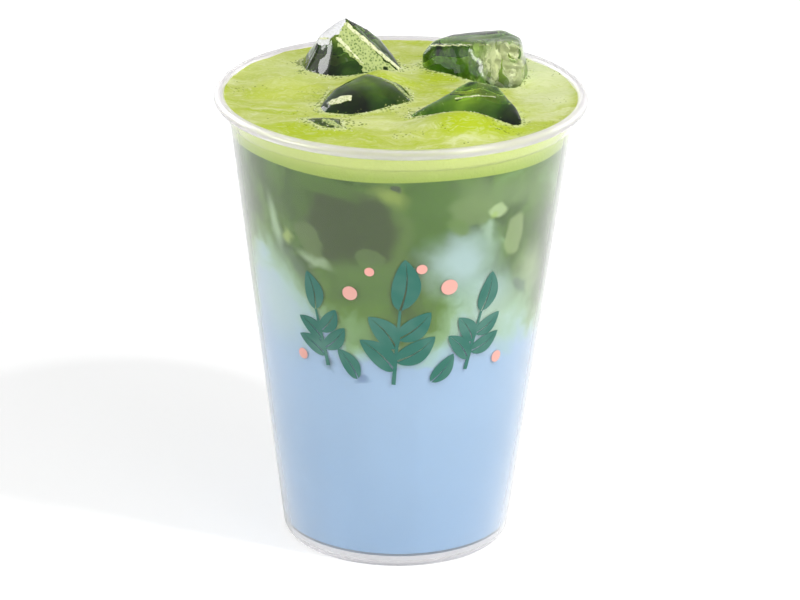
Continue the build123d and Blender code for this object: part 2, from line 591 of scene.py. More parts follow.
class SunlitTea:
    """The tea round the sunken ice: light scatters in it near the top, so it is vivid there and dark below."""

    def build(self) -> bpy.types.Material:
        """Makes the material."""
        material, tree, out = new_material("tea_round_ice")
        place = add(tree, "TexCoord").outputs["Object"]
        parts = add(tree, "SeparateXYZ", {0: place})
        cloud = add(tree, "TexNoise", {"Vector": place, "Scale": 130.0, "Detail": 3.0, "Distortion": 0.7})
        shift = add(tree, "Math", {0: cloud.outputs[0], 1: 0.012, 2: parts.outputs[2]}, operation="MULTIPLY_ADD")
        depth = add(tree, "MapRange", {"Value": shift.outputs[0], "From Min": 0.105, "From Max": 0.124})
        tone = add(tree, "ValToRGB", {0: depth.outputs[0]})
        ramp = tone.color_ramp
        for element, (at, colour) in zip(ramp.elements, ((0.0, "16300A"), (1.0, "A2C24A"))):
            element.position = at
            element.color = linear(colour)
        middle = ramp.elements.new(0.65)
        middle.color = linear("40701A")
        tea = add(tree, "BsdfPrincipled", {"Base Color": tone.outputs[0], "Roughness": 0.6, "IOR": 1.34})
        tree.links.new(tea.outputs[0], out.inputs[0])
        return material


@dataclass(frozen=True)
class Blot:
    """A round patch of stronger or paler froth, seen from above, in millimetres."""

    x: float
    y: float
    half_width: float
    half_depth: float
    colour: str
    strength: float


class FoamFinish:
    """Whisked matcha froth: matt, lime green, finely pitted, paler where it is thick and dry."""

    blots = (
        Blot(-22, 20, 22, 12, "D6E08E", 0.7),
        Blot(30, 24, 16, 12, "E3E9BC", 0.9),
        Blot(38, 4, 8, 16, "E3E9B8", 0.8),
        Blot(20, -29, 15, 6.5, "B2C60E", 0.98),
        Blot(-25, -30, 15, 6, "B4C80E", 0.98),
        Blot(9, 18, 7, 9, "B8CA1E", 0.95),
        Blot(8, 4, 6, 4, "BCCC30", 0.7),
        Blot(-30, 2, 9, 9, "CFDC5A", 0.6),
        Blot(-6, -24, 9, 4, "E0E79E", 0.7),
    )

    def build(self) -> bpy.types.Material:
        """Makes the material."""
        material, tree, out = new_material("matcha_foam")
        place = add(tree, "TexCoord").outputs["Object"]
        slow = add(tree, "TexNoise", {"Vector": place, "Scale": 90.0, "Detail": 3.0})
        push = add(tree, "VectorMath", {0: slow.outputs["Color"], 1: (0.5, 0.5, 0.5)}, operation="SUBTRACT")
        shove = add(tree, "VectorMath", {0: push.outputs[0], "Scale": 0.018}, operation="SCALE")
        warped = add(tree, "VectorMath", {0: place, 1: shove.outputs[0]}, operation="ADD")
        parts = add(tree, "SeparateXYZ", {0: warped.outputs[0]})
        level = add(tree, "SeparateXYZ", {0: place}).outputs[2]
        streaks = add(tree, "Mapping", {"Vector": warped.outputs[0], "Scale": (0.5, 1.2, 1.0)})
        drift = add(tree, "TexNoise", {"Vector": streaks.outputs[0], "Scale": 120.0, "Detail": 5.0, "Distortion": 0.6})
        tone = add(tree, "ValToRGB", {0: drift.outputs[0]})
        ramp = tone.color_ramp
        for element, (at, colour) in zip(ramp.elements, ((0.36, "B4C636"), (0.64, "D4DC96"))):
            element.position = at
            element.color = linear(colour)
        middle = ramp.elements.new(0.5)
        middle.color = linear("C2CE62")
        shown = tone.outputs[0]
        for blot in self.blots:
            shown = self.blotted(tree, shown, parts, blot)
        near = add(tree, "Attribute", attribute_name="near_ice").outputs["Fac"]
        dry = add(tree, "MapRange", {"Value": near, "From Min": 0.35, "From Max": 0.95, "To Max": 0.65})
        shown = add(tree, "Mix", {0: dry.outputs[0], 6: shown, 7: linear("DDE4B4")}, data_type="RGBA").outputs[2]
        fine = add(tree, "Mapping", {"Vector": warped.outputs[0], "Scale": (0.3, 1.3, 1.0)})
        strand = add(tree, "TexNoise", {"Vector": fine.outputs[0], "Scale": 900.0, "Detail": 4.0})
        pale = add(tree, "MapRange", {"Value": strand.outputs[0], "From Min": 0.5, "From Max": 0.72, "To Max": 0.4})
        deep = add(tree, "MapRange", {"Value": strand.outputs[0], "From Min": 0.5, "From Max": 0.3, "To Max": 0.35})
        shown = add(tree, "Mix", {0: pale.outputs[0], 6: shown, 7: linear("E6EBB8")}, data_type="RGBA").outputs[2]
        shown = add(tree, "Mix", {0: deep.outputs[0], 6: shown, 7: linear("BCCB48")}, data_type="RGBA").outputs[2]
        shown = self.pits_with_painted_shade(tree, shown, place, near)
        side = add(tree, "MapRange", {"Value": level, "From Min": 0.1105, "From Max": 0.1142})
        olive = add(tree, "Mix", {0: side.outputs[0], 6: linear("9FB548"), 7: linear("C4D178")}, data_type="RGBA")
        on_top = add(tree, "MapRange", {"Value": level, "From Min": 0.1170, "From Max": 0.1178})
        colour = add(tree, "Mix", {0: on_top.outputs[0], 6: olive.outputs[2], 7: shown}, data_type="RGBA")
        cells = add(tree, "TexVoronoi", {"Vector": place, "Scale": 1300.0}, feature="F1")
        grain = add(tree, "TexNoise", {"Vector": place, "Scale": 900.0, "Detail": 3.0})
        height = add(tree, "Math", {0: cells.outputs["Distance"], 1: grain.outputs[0]}, operation="ADD")
        bump = add(tree, "Bump", {"Height": height.outputs[0], "Strength": 0.3, "Distance": 0.0003})
        froth = add(
            tree,
            "BsdfPrincipled",
            {
                "Base Color": colour.outputs[2],
                "Roughness": 0.6,
                "IOR": 1.34,
                "Specular IOR Level": 0.25,
                "Normal": bump.outputs[0],
            },
        )
        tree.links.new(froth.outputs[0], out.inputs[0])
        return material

    def blotted(self, tree: bpy.types.NodeTree, colour: bpy.types.NodeSocket, parts: bpy.types.Node, blot: Blot) -> bpy.types.NodeSocket:
        """Lays one patch over the froth's colour.

        Args:
            tree: the material's nodes.
            colour: the colour so far.
            parts: the place's x, y and z.
            blot: the patch.

        Returns:
            The colour with the patch.
        """
        squares = []
        for axis, middle, half in ((0, blot.x, blot.half_width), (1, blot.y, blot.half_depth)):
            away = add(
                tree, "Math", {0: parts.outputs[axis], 1: 1 / (MM * half), 2: -middle / half}, operation="MULTIPLY_ADD"
            )
            squares.append(add(tree, "Math", {0: away.outputs[0], 1: 2.0}, operation="POWER").outputs[0])
        far = add(tree, "Math", {0: squares[0], 1: squares[1]}, operation="ADD")
        mask = add(
            tree,
            "MapRange",
            {"Value": far.outputs[0], "From Min": 1.6, "From Max": 0.1, "To Max": blot.strength},
            interpolation_type="SMOOTHSTEP",
        )
        return add(tree, "Mix", {0: mask.outputs[0], 6: colour, 7: linear(blot.colour)}, data_type="RGBA").outputs[2]

    def pits_with_painted_shade(self, tree: bpy.types.NodeTree, colour: bpy.types.NodeSocket, place: bpy.types.NodeSocket, near: bpy.types.NodeSocket) -> bpy.types.NodeSocket:
        """Darkens small burst bubbles with painted shade, mostly round the ice.

        Args:
            tree: the material's nodes.
            colour: the froth's colour.
            place: object coordinates.
            near: one against the ice, nothing far from it.

        Returns:
            The colour with the pits.
        """
        holes = add(tree, "TexVoronoi", {"Vector": place, "Scale": 1000.0, "Randomness": 1.0}, feature="F1")
        groups = add(tree, "TexNoise", {"Vector": place, "Scale": 110.0, "Detail": 2.0})
        chance = add(tree, "Math", {0: near, 1: 0.4, 2: groups.outputs[0]}, operation="MULTIPLY_ADD")
        wide = add(tree, "MapRange", {"Value": chance.outputs[0], "From Min": 0.5, "From Max": 0.75, "To Max": 0.46})
        open_hole = add(tree, "Math", {0: wide.outputs[0], 1: holes.outputs["Distance"]}, operation="SUBTRACT")
        mask = add(tree, "MapRange", {"Value": open_hole.outputs[0], "From Max": 0.08, "To Max": 0.8})
        # Painted shade: the pits are darkened to a deep olive.
        return add(tree, "Mix", {0: mask.outputs[0], 6: colour, 7: linear("6F8418")}, data_type="RGBA").outputs[2]


@dataclass(frozen=True)
class FrothFinish:
    """Foam left to drain on wet ice: cream-green films between small round bubbles. In near-white, it also draws a
    painted reflection.
    """

    name: str
    hollow: str
    film: str

    def build(self) -> bpy.types.Material:
        """Makes the material."""
        material, tree, out = new_material(self.name)
        place = add(tree, "TexCoord").outputs["Object"]
        cells = add(tree, "TexVoronoi", {"Vector": place, "Scale": 1500.0}, feature="F1")
        tone = add(tree, "ValToRGB", {0: cells.outputs["Distance"]})
        ramp = tone.color_ramp
        for element, (at, colour) in zip(ramp.elements, ((0.12, self.hollow), (0.55, self.film))):
            element.position = at
            element.color = linear(colour)
        bump = add(tree, "Bump", {"Height": cells.outputs["Distance"], "Strength": 0.6, "Distance": 0.0003})
        film = add(
            tree,
            "BsdfPrincipled",
            {"Base Color": tone.outputs[0], "Roughness": 0.3, "IOR": 1.34, "Normal": bump.outputs[0]},
        )
        tree.links.new(film.outputs[0], out.inputs[0])
        return material


class CrackFinish:
    """Trapped air and healed cracks in ice: cloudy white sheets that let some light on."""

    def build(self) -> bpy.types.Material:
        """Makes the material."""
        material, tree, out = new_material("cloudy_cracks")
        place = add(tree, "TexCoord").outputs["Object"]
        cloud = add(tree, "TexNoise", {"Vector": place, "Scale": 400.0, "Detail": 3.0})
        tone = add(tree, "Mix", {0: cloud.outputs[0], 6: linear("A9B57A"), 7: linear("F2F1DC")}, data_type="RGBA")
        sheet = add(
            tree,
            "BsdfPrincipled",
            {"Base Color": tone.outputs[2], "Roughness": 0.35, "IOR": 1.2, "Transmission Weight": 0.45},
        )
        tree.links.new(clear_to_lamps(tree, sheet.outputs[0]), out.inputs[0])
        return material


@dataclass(frozen=True)
class IceFinish:
    """Half-melted clear ice under a film of water: mirror-smooth, bending and greening what is behind it, with spots
    of painted shade and painted light.
    """

    name: str
    deep: str
    clear: str
    painted_shade_light_and_cloud_spots: tuple[tuple[tuple[float, float, float], float, str], ...]  # middle and reach in mm, and tint: dark tints are painted shade, pale ones painted light, save the second block's cloudy patch

    def build(self) -> bpy.types.Material:
        """Makes the material."""
        material, tree, out = new_material(self.name)
        place = add(tree, "TexCoord").outputs["Object"]
        ripple = add(tree, "TexNoise", {"Vector": place, "Scale": 160.0, "Detail": 1.0})
        bump = add(tree, "Bump", {"Height": ripple.outputs[0], "Strength": 0.15, "Distance": 0.001})
        cloud = add(tree, "TexNoise", {"Vector": place, "Scale": 120.0, "Detail": 2.0, "Distortion": 0.8})
        tint = add(tree, "ValToRGB", {0: cloud.outputs[0]})
        ramp = tint.color_ramp
        for element, (at, colour) in zip(ramp.elements, ((0.46, self.deep), (0.72, self.clear))):
            element.position = at
            element.color = linear(colour)
        shown = tint.outputs[0]
        # Each spot lays its tint over the ice's own; all are painted shade and light, save the second block's real
        # cloud.
        for middle, reach, colour in self.painted_shade_light_and_cloud_spots:
            away = add(tree, "VectorMath", {0: place, 1: [side * MM for side in middle]}, operation="DISTANCE")
            mask = add(
                tree,
                "MapRange",
                {"Value": away.outputs["Value"], "From Min": reach * MM, "From Max": reach * MM * 0.45},
                interpolation_type="SMOOTHSTEP",
            )
            shown = add(tree, "Mix", {0: mask.outputs[0], 6: shown, 7: linear(colour)}, data_type="RGBA").outputs[2]
        ice = add(
            tree,
            "BsdfPrincipled",
            {
                "Base Color": shown,
                "Roughness": 0.03,
                "IOR": 1.31,
                "Transmission Weight": 1.0,
                "Normal": bump.outputs[0],
            },
        )
        tree.links.new(clear_to_lamps(tree, ice.outputs[0]), out.inputs[0])
        return material


class InkFinish:
    """Screen-printed ink on the plastic: flat colour with a slight gloss, a little thin in places."""

    def __init__(self, name: str, colour: str) -> None:
        """Takes the ink's name and colour."""
        self.name, self.colour = name, colour

    def build(self) -> bpy.types.Material:
        """Makes the material."""
        material, tree, out = new_material(self.name)
        place = add(tree, "TexCoord").outputs["Object"]
        patchy = add(tree, "TexNoise", {"Vector": place, "Scale": 120.0, "Detail": 2.0})
        thin = add(tree, "Mix", {0: patchy.outputs[0], 6: linear(self.colour), 7: linear("8FB5A8")}, data_type="RGBA")
        thinner = add(tree, "MapRange", {"Value": patchy.outputs[0], "From Min": 0.4, "From Max": 0.9, "To Max": 0.3})
        tree.links.new(thinner.outputs[0], thin.inputs[0])
        ink = add(tree, "BsdfPrincipled", {"Base Color": thin.outputs[2], "Roughness": 0.3, "IOR": 1.5})
        tree.links.new(ink.outputs[0], out.inputs[0])
        return material


class Cup:
    """The clear tumbler with its rolled rim, stacking step and foot."""

    milky_above = 116.9
    milky_below = 3.1

    def build(self) -> bpy.types.Object:
        """Makes the cup, clear in the wall and milkier in the thick plastic of the rim and foot."""
        clear = Polypropylene("clear_polypropylene", 0.985, 0.1, 1.0, "F3F2F2", "FAFAFB")
        milky = Polypropylene("milky_polypropylene", 0.84, 0.34, 0.35, "DEDBDD", "E8E6E8")
        piece = finished("clear_cup", spun(SHAPE.section()), clear.build())
        piece.data.materials.append(milky.build())
        for face in piece.data.polygons:
            height = face.center.z / MM
            if height > self.milky_above or height < self.milky_below:
                face.material_index = 1
        carried(piece, "clear_plastic", "cup")
        return piece


class Froth(Enum):
    """Two kinds of froth that cling to the ice, and a near-white skin that is a painted reflection."""

    CREAM = FrothFinish("cream_froth", "A5B266", "E6E9BE")
    GREEN = FrothFinish("green_froth", "56752A", "B4C278")
    PAINTED_REFLECTION = FrothFinish("painted_reflection_skin", "DADCD8", "EBEBEF")


@dataclass(frozen=True)
class FrothPatch:
    """A film along a line on a block of ice, where the ice's skin faces one way. Most are froth; one is a painted
    reflection, one a painted glint, and some are thin pale lines.
    """

    block: str
    kind: Froth
    start: tuple[float, float, float]
    end: tuple[float, float, float]
    reach: float
    facing: tuple[float, float, float] = (0, 0, 1)
    least: float = -1.0

    def covers(self, place: Vector, normal: Vector) -> bool:
        """If a bit of the ice's skin is under the froth."""
        start, line = Vector(self.start), Vector(self.end) - Vector(self.start)
        share = min(max((place - start).dot(line) / line.length_squared, 0), 1)
        ragged = self.reach * (1 + 0.3 * noise.noise(place * 0.7))
        near = (place - start - line * share).length < ragged
        return near and place.z > 117.8 and normal.dot(Vector(self.facing).normalized()) > self.least


class Ice:
    """The ice that stands out of the foam: each block a melted hull of a few corners, dimpled."""

    voxel = 0.5
    dimple = 0.35
    corners = {
        "ice_1": (
            (-14.5, 21, 132), (-9, 25, 128), (-5.5, 27, 124.5), (-1.5, 27, 118.5), (1, 19.5, 117.5),
            (-7.5, 16, 117.5), (-17, 17, 128), (-21, 19, 127), (-25, 17.5, 118.5), (-18.5, 13, 118),
            (-12, 13, 118), (-20, 28, 126), (-26, 26, 118), (-8, 34, 117), (-24, 18, 104), (-13, 13, 103),
            (0, 18, 105), (-6, 32, 104), (-24, 30, 105),
        ),
        "ice_2": (
            (7.5, 22.5, 124.5), (17.5, 15, 127), (30, 11, 128), (8.5, 25, 125), (13, 27, 126), (21, 28, 126.5),
            (26, 27, 127.5), (30.5, 22, 127), (5.5, 23.5, 121.5), (8.5, 20, 118), (18, 12, 118), (25, 7, 118),
            (29.5, 9, 119.5), (9, 20, 104), (19, 11, 103), (29, 6, 104), (32, 18, 105), (22, 32, 105),
            (8, 28, 106), (12, 31, 119), (27, 31, 119), (32.5, 20, 119),
        ),
        "ice_3": (
            (-20.5, -12, 118.5), (-16, -7, 122), (-8.5, -1, 124), (-1.5, -1, 121.8), (3, -6, 118), (-4, -10.5, 118),
            (-12, -17, 118), (-19.5, -16, 118), (-13, -12, 121.8), (-4, -7, 122.2), (-18, 2, 118), (-6, 6, 118),
            (2, 2, 118), (-19, -14, 103), (-12, -16, 101), (0, -9, 102), (-1, 3, 103), (-16, 2, 103),
        ),
        "ice_4": (
            (1.0, -19.5, 118.3), (17.5, -12, 126.3), (24, -13, 125.3), (28.5, -19, 121.8), (30, -24, 120),
            (27.5, -27.5, 118), (7.5, -21.5, 118), (13.5, -18, 123.5), (19, -18.5, 124.3), (23.5, -18.5, 124),
            (8, -10, 118), (20, -6, 119), (29, -13, 118), (6, -20, 104), (24, -28, 105), (30, -18, 103),
            (18, -8, 102), (8, -10, 104),
        ),
        "ice_5": (
            (-25, -20, 118.4), (-19, -23, 119.9), (-14, -27.5, 118.5), (-15, -21.5, 119), (-20, -28, 118),
            (-24, -22, 110), (-15, -29, 110), (-14, -20, 109), (-23, -18, 110),
        ),
    }
    patches = (
        FrothPatch("ice_1", Froth.GREEN, (-14, 19, 128), (-3.5, 17.5, 118), 4.2, (0.18, -0.94, 0.3), 0.9),
        FrothPatch("ice_1", Froth.CREAM, (-14.5, 20, 130.5), (0.8, 19.3, 118), 0.75),
        FrothPatch("ice_1", Froth.CREAM, (-16.6, 17.2, 127.6), (-7.5, 16.2, 118), 0.8),
        FrothPatch("ice_1", Froth.CREAM, (-21, 19, 127), (-17, 17.2, 127.6), 0.45),
        # A near-white painted reflection on the first block's upper-left face, drawn as a skin.
        FrothPatch("ice_1", Froth.PAINTED_REFLECTION, (-19.5, 20, 127.3), (-14.8, 20.8, 131.5), 3.2, (-0.43, -0.49, 0.76), 0.72),
        FrothPatch("ice_3", Froth.CREAM, (-17, -12.6, 120.2), (-13, -12.6, 121), 1.3),
        FrothPatch("ice_3", Froth.GREEN, (-4, -2, 122.6), (2.5, -5.5, 118.6), 1.1),
        # A painted glint on the sliver, drawn in the green froth finish.
        FrothPatch("ice_5", Froth.GREEN, (-19, -24, 119.6), (-15.5, -26.3, 119), 1.0),
        # Thin pale lines along the top edges of the fourth and second blocks, drawn in the cream finish.
        FrothPatch("ice_4", Froth.CREAM, (13.5, -18, 123.5), (19, -18.4, 124.5), 0.35),
        FrothPatch("ice_4", Froth.CREAM, (19, -18.4, 124.5), (23.5, -18.4, 124), 0.3),
        FrothPatch("ice_2", Froth.CREAM, (7.5, 22.3, 124.5), (17.5, 15, 127), 0.38),
        FrothPatch("ice_2", Froth.CREAM, (17.5, 15, 127), (31, 11, 128), 0.3),
    )

    finishes = {
        # Painted shade darkens the lower-left face, painted light greens its lower-right corner, and a near-white
        # painted reflection lies on the upper-left face.
        "ice_1": IceFinish(
            "dark_wet_ice",
            "365E14",
            "7FA04E",
            (((-20.5, 15.0, 121.5), 7.5, "17210E"), ((-13.0, 12.5, 119.0), 3.2, "8FB05E"), ((-18.5, 19.5, 130.5), 5.5, "F4F2F8")),
        ),
        # Painted shade darkens the left end; the pale patch on the right is the block's own cloudy ice.
        "ice_2": IceFinish(
            "cloudy_wet_ice",
            "2E5C10",
            "86A850",
            (((10.0, 20.0, 120.5), 6.0, "2A5210"), ((27.0, 12.0, 123.5), 8.0, "EEF0DC")),
        ),
        # Painted shade darkens the front-left, and a pale olive painted highlight lies on the right.
        "ice_3": IceFinish(
            "olive_wet_ice",
            "5C7024",
            "A2B060",
            (((-12.0, -13.0, 120.0), 6.5, "2C3114"), ((-3.0, -5.0, 121.5), 8.0, "D2DC82")),
        ),
        # Painted shade darkens the right end, and painted light pales the middle.
        "ice_4": IceFinish(
            "green_wet_ice",
            "55801E",
            "A8C46C",
            (((28.5, -23.0, 120.5), 6.5, "1E2A10"), ((17.0, -17.5, 121.5), 6.0, "C2D66A")),
        ),
        # A near-white painted glint lies on the middle of the sliver.
        "ice_5": IceFinish("pale_wet_ice", "A8CC64", "F0F5DC", (((-17.0, -25.0, 119.0), 4.5, "F4F8E4"),)),
    }
    melting = {"ice_1": 20, "ice_2": 44, "ice_3": 40, "ice_4": 18, "ice_5": 8}  # smoothing passes

    def __init__(self) -> None:
        """Melts the blocks."""
        self.blocks = {name: self.melted(name) for name in self.corners}
        self.trees = [BVHTree.FromBMesh(mesh) for mesh in self.blocks.values()]

    def melted(self, name: str) -> bmesh.types.BMesh:
        """A rounded and dimpled hull of one block's corners, in millimetres."""
        mesh = bmesh.new()
        for corner in self.corners[name]:
            mesh.verts.new([side * MM for side in corner])
        hull = bmesh.ops.convex_hull(mesh, input=mesh.verts)
        bmesh.ops.delete(mesh, geom=list({*hull["geom_interior"], *hull["geom_unused"]}), context="VERTS")
        data = bpy.data.meshes.new(name + "_melt")
        mesh.to_mesh(data)
        mesh.free()
        source = bpy.data.objects.new(name + "_melt", data)
        bpy.context.scene.collection.objects.link(source)
        remesh = source.modifiers.new("skin", "REMESH")
        remesh.mode = "VOXEL"
        remesh.voxel_size = self.voxel * MM
        smooth = source.modifiers.new("soften", "SMOOTH")
        smooth.factor = 0.5
        smooth.iterations = self.melting[name]
        apply_modifiers(source)
        mesh = bmesh.new()
        mesh.from_mesh(source.data)
        bpy.data.objects.remove(source)
        bmesh.ops.scale(mesh, vec=(1 / MM, 1 / MM, 1 / MM), verts=mesh.verts)
        mesh.normal_update()
        for corner in mesh.verts:
            wave = noise.noise(corner.co * 0.13 + Vector((3, 7, 1)) * len(name)) * self.dimple
            ripple = noise.noise(corner.co * 0.4) * self.dimple * 0.3
            corner.co += corner.normal * (wave + ripple + 0.012 * self.melting[name])
        mesh.normal_update()
        return mesh

    def gap(self, place: Vector) -> float:
        """How far a place is from the nearest ice."""
        return min(tree.find_nearest(place)[3] for tree in self.trees)

    def build(self) -> list[bpy.types.Object]:
        """Makes every block."""
        pieces = []
        for name, mesh in self.blocks.items():
            piece = finished("clear_" + name, mesh.copy(), self.finishes[name].build())
            carried(piece, "ice", name)
            pieces.append(piece)
        return pieces

    def froth(self) -> None:
        """Lays thin froth on the worn faces and ridges, and the painted reflection, the painted glint and the thin
        pale lines drawn the same way.
        """
        finishes = {kind: kind.value.build() for kind in Froth}
        for index, patch in enumerate(self.patches):
            mesh = self.blocks[patch.block].copy()
            mesh.normal_update()
            spare = [face for face in mesh.faces if not patch.covers(face.calc_center_median(), face.normal)]
            bmesh.ops.delete(mesh, geom=spare, context="FACES")
            for _ in range(4):
                bmesh.ops.smooth_vert(mesh, verts=mesh.verts, factor=0.5, use_axis_x=True, use_axis_y=True, use_axis_z=True)
            mesh.normal_update()
            proud = 0.24 if patch.kind is Froth.CREAM else 0.12
            for corner in mesh.verts:
                lumps = 0.10 * noise.noise(corner.co * 1.7)
                corner.co += corner.normal * (proud + lumps)
            bmesh.ops.solidify(mesh, geom=mesh.faces[:], thickness=0.25)
            bmesh.ops.recalc_face_normals(mesh, faces=mesh.faces)
            name = f"froth_{index + 1}_on_{patch.block}"
            carried(finished(name, mesh, finishes[patch.kind]), "lime_foam")

    def deep_inside(self, tree: BVHTree, place: Vector) -> bool:
        """If a place is inside a block and not close to its skin."""
        skin, outwards = tree.find_nearest(place)[:2]
        return (place - skin).dot(outwards) < -0.3

    def cracks(self, material: bpy.types.Material) -> None:
        """Scatters cloudy sheets through the right half of the second block."""
        mesh = bmesh.new()
        tree = self.trees[list(self.blocks).index("ice_2")]
        middle = Vector((25.5, 16.0, 121.5))
        count = 0
        while count < 84:
            size = random.uniform(1.0, 3.6)
            spot = middle + Vector((random.uniform(-6.5, 5.5), random.uniform(-6.5, 6), random.uniform(-7, 4.0)))
            turn = Matrix.Rotation(random.uniform(-0.7, 0.7), 4, "Z") @ Matrix.Rotation(random.gauss(1.45, 0.35), 4, "X")
            sheet = bmesh.ops.create_icosphere(mesh, subdivisions=3, radius=1)["verts"]
            for corner in sheet:
                ragged = size / 2 * (1 + 0.5 * noise.noise(corner.co * 1.5 + spot))
                flat = Vector((corner.co.x * 0.6 * ragged, corner.co.y * 1.4 * ragged, corner.co.z * 0.03))
                lump = 0.5 * noise.noise((Vector((flat.x, flat.y, 0)) + spot) * 0.8)
                corner.co = spot + (turn @ (flat + Vector((lump, lump, 1.6 * lump))))
            if all(self.deep_inside(tree, corner.co) for corner in sheet):
                count += 1
            else:
                bmesh.ops.delete(mesh, geom=sheet, context="VERTS")
        carried(finished("cracks_in_ice_2", mesh, material), "ice")

    def cutters(self, material: bpy.types.Material) -> bpy.types.Collection:
        """Makes the slightly smaller blocks that hollow out the drink.

        Args:
            material: what the hollows' walls look like.

        Returns:
            The cutters, which stay out of the scene.
        """
        room = bpy.data.collections.new("hollows")
        for name, block in self.blocks.items():
            mesh = block.copy()
            for corner in mesh.verts:
                corner.co -= corner.normal * 0.12
            cutter = finished("hollow_" + name, mesh, material)
            bpy.context.scene.collection.objects.unlink(cutter)
            room.objects.link(cutter)
        return room


def hollowed(piece: bpy.types.Object, cutters: bpy.types.Collection) -> None:
    """Cuts the ice's room out of a filling.

    Args:
        piece: the filling.
        cutters: the shapes to take away.
    """
    for cutter in cutters.objects:
        cut = piece.modifiers.new(cutter.name, "BOOLEAN")
        cut.operation = "DIFFERENCE"
        cut.solver = "MANIFOLD"
        cut.material_mode = "TRANSFER"
        cut.object = cutter
    apply_modifiers(piece)


class Drink:
    """The milk, the tea and the foam, each out to the wall and cut round the ice."""

    foam_level = 118.4
    foam_floor = 109.7
    thin_foam = 1.5
    milk_height = 69.0
    swells = (
        Swell(14.5, -27.5, 4.6, 5.6, 1.35),
        Swell(-5, 8, 3.6, 4.5),
        Swell(12, -2, 1.4, 6.0),
        Swell(-27, 12, 0.6, 5.0),
        Swell(33, 8, -0.8, 8.0),
    )

    def foam_top(self, x: float, y: float) -> float:
        """The top of the foam at a place."""
        far = hypot(x, y)
        level = self.foam_level + sum(swell.at(x, y) for swell in self.swells)
        level += 0.35 * noise.noise(Vector((x * 0.09, y * 0.16, 2.0)))
        level += 0.12 * noise.noise(Vector((x * 0.5, y * 0.9, 5.0)))
        return level + 0.35 * exp(-((SHAPE.collar_radius - far) / 1.2) ** 2)

    def foam_under(self, x: float, y: float) -> float:
        """The underside of the foam: thick at the wall, thin in the middle round the ice."""
        far = hypot(x, y)
        share = min(max((far - 34.0) / 6.0, 0.0), 1.0)
        share = share * share * (3 - 2 * share)
        edge = self.foam_floor + 0.25 * sin(atan2(x, -y) * 5)
        return (self.foam_top(x, y) - self.thin_foam) * (1 - share) + edge * share

    def milk_top(self, x: float, y: float) -> float:
        """Where milk turns to tea."""
        return self.milk_height + 3 * noise.noise(Vector((x * 0.05, y * 0.05, 9.0)))

    def build(self, ice: Ice) -> None:
        """Makes the three fillings.

        Args:
            ice: the blocks that stand in them.
        """
        milky = MarbledDrink("blue_milk_marbled", 0.1).build()
        marbled = MarbledDrink("green_tea_marbled", 0.03).build()
        foamy = FoamFinish().build()
        milk = finished("blue_milk_body", plug(self.milk_under, self.milk_top, 12, 30), milky)
        tea = finished("green_tea_body", plug(self.milk_top, self.foam_under, 60, 30), marbled)
        foam = finished("foam_layer", plug(self.foam_under, self.foam_top, 90, 44, 0.14), foamy)
        self.marked(foam, ice)
        hollowed(tea, ice.cutters(SunlitTea().build()))
        hollowed(foam, ice.cutters(foamy))
        carried(milk, "blue_milk", "milk")
        carried(tea, "green_matcha", "matcha")
        carried(foam, "lime_foam", "foam")

    def marked(self, foam: bpy.types.Object, ice: Ice) -> None:
        """Notes how near the ice each place of the foam is, and draws it up against the ice.

        Args:
            foam: the foam, before it is cut.
            ice: the blocks.
        """
        near = foam.data.attributes.new("near_ice", "FLOAT", "POINT")
        for corner in foam.data.vertices:
            place = corner.co / MM
            gap = ice.gap(place) if place.z > self.foam_level - 2 else 20.0
            near.data[corner.index].value = exp(-gap / 1.6)
            if place.z > self.foam_level - 0.8:
                corner.co.z += MM * 0.35 * exp(-gap / 0.8)

    def milk_under(self, x: float, y: float) -> float:
        """The underside of the milk, just into the cup's floor."""
        return SHAPE.floor_top - 0.1

    def bubbles(self, ice: Ice, material: bpy.types.Material) -> None:
        """Scatters small bubbles on the foam round the ice.

        Args:
            ice: the blocks.
            material: the bubbles' finish.
        """
        mesh = bmesh.new()
        count = 0
        while count < 480:
            x, y = random.uniform(-40, 40), random.uniform(-40, 40)
            place = Vector((x, y, self.foam_top(x, y)))
            gap = ice.gap(place)
            if hypot(x, y) > 42 or gap > 3.0 or gap < 0.1 or random.random() > exp(-gap / 0.8):
                continue
            radius = random.uniform(0.08, 0.2)
            place.z += 0.35 * exp(-gap / 0.8) + radius * 0.15
            bmesh.ops.create_icosphere(mesh, subdivisions=2, radius=radius, matrix=Matrix.Translation(place))
            count += 1
        carried(finished("foam_bubbles", mesh, material), "lime_foam")


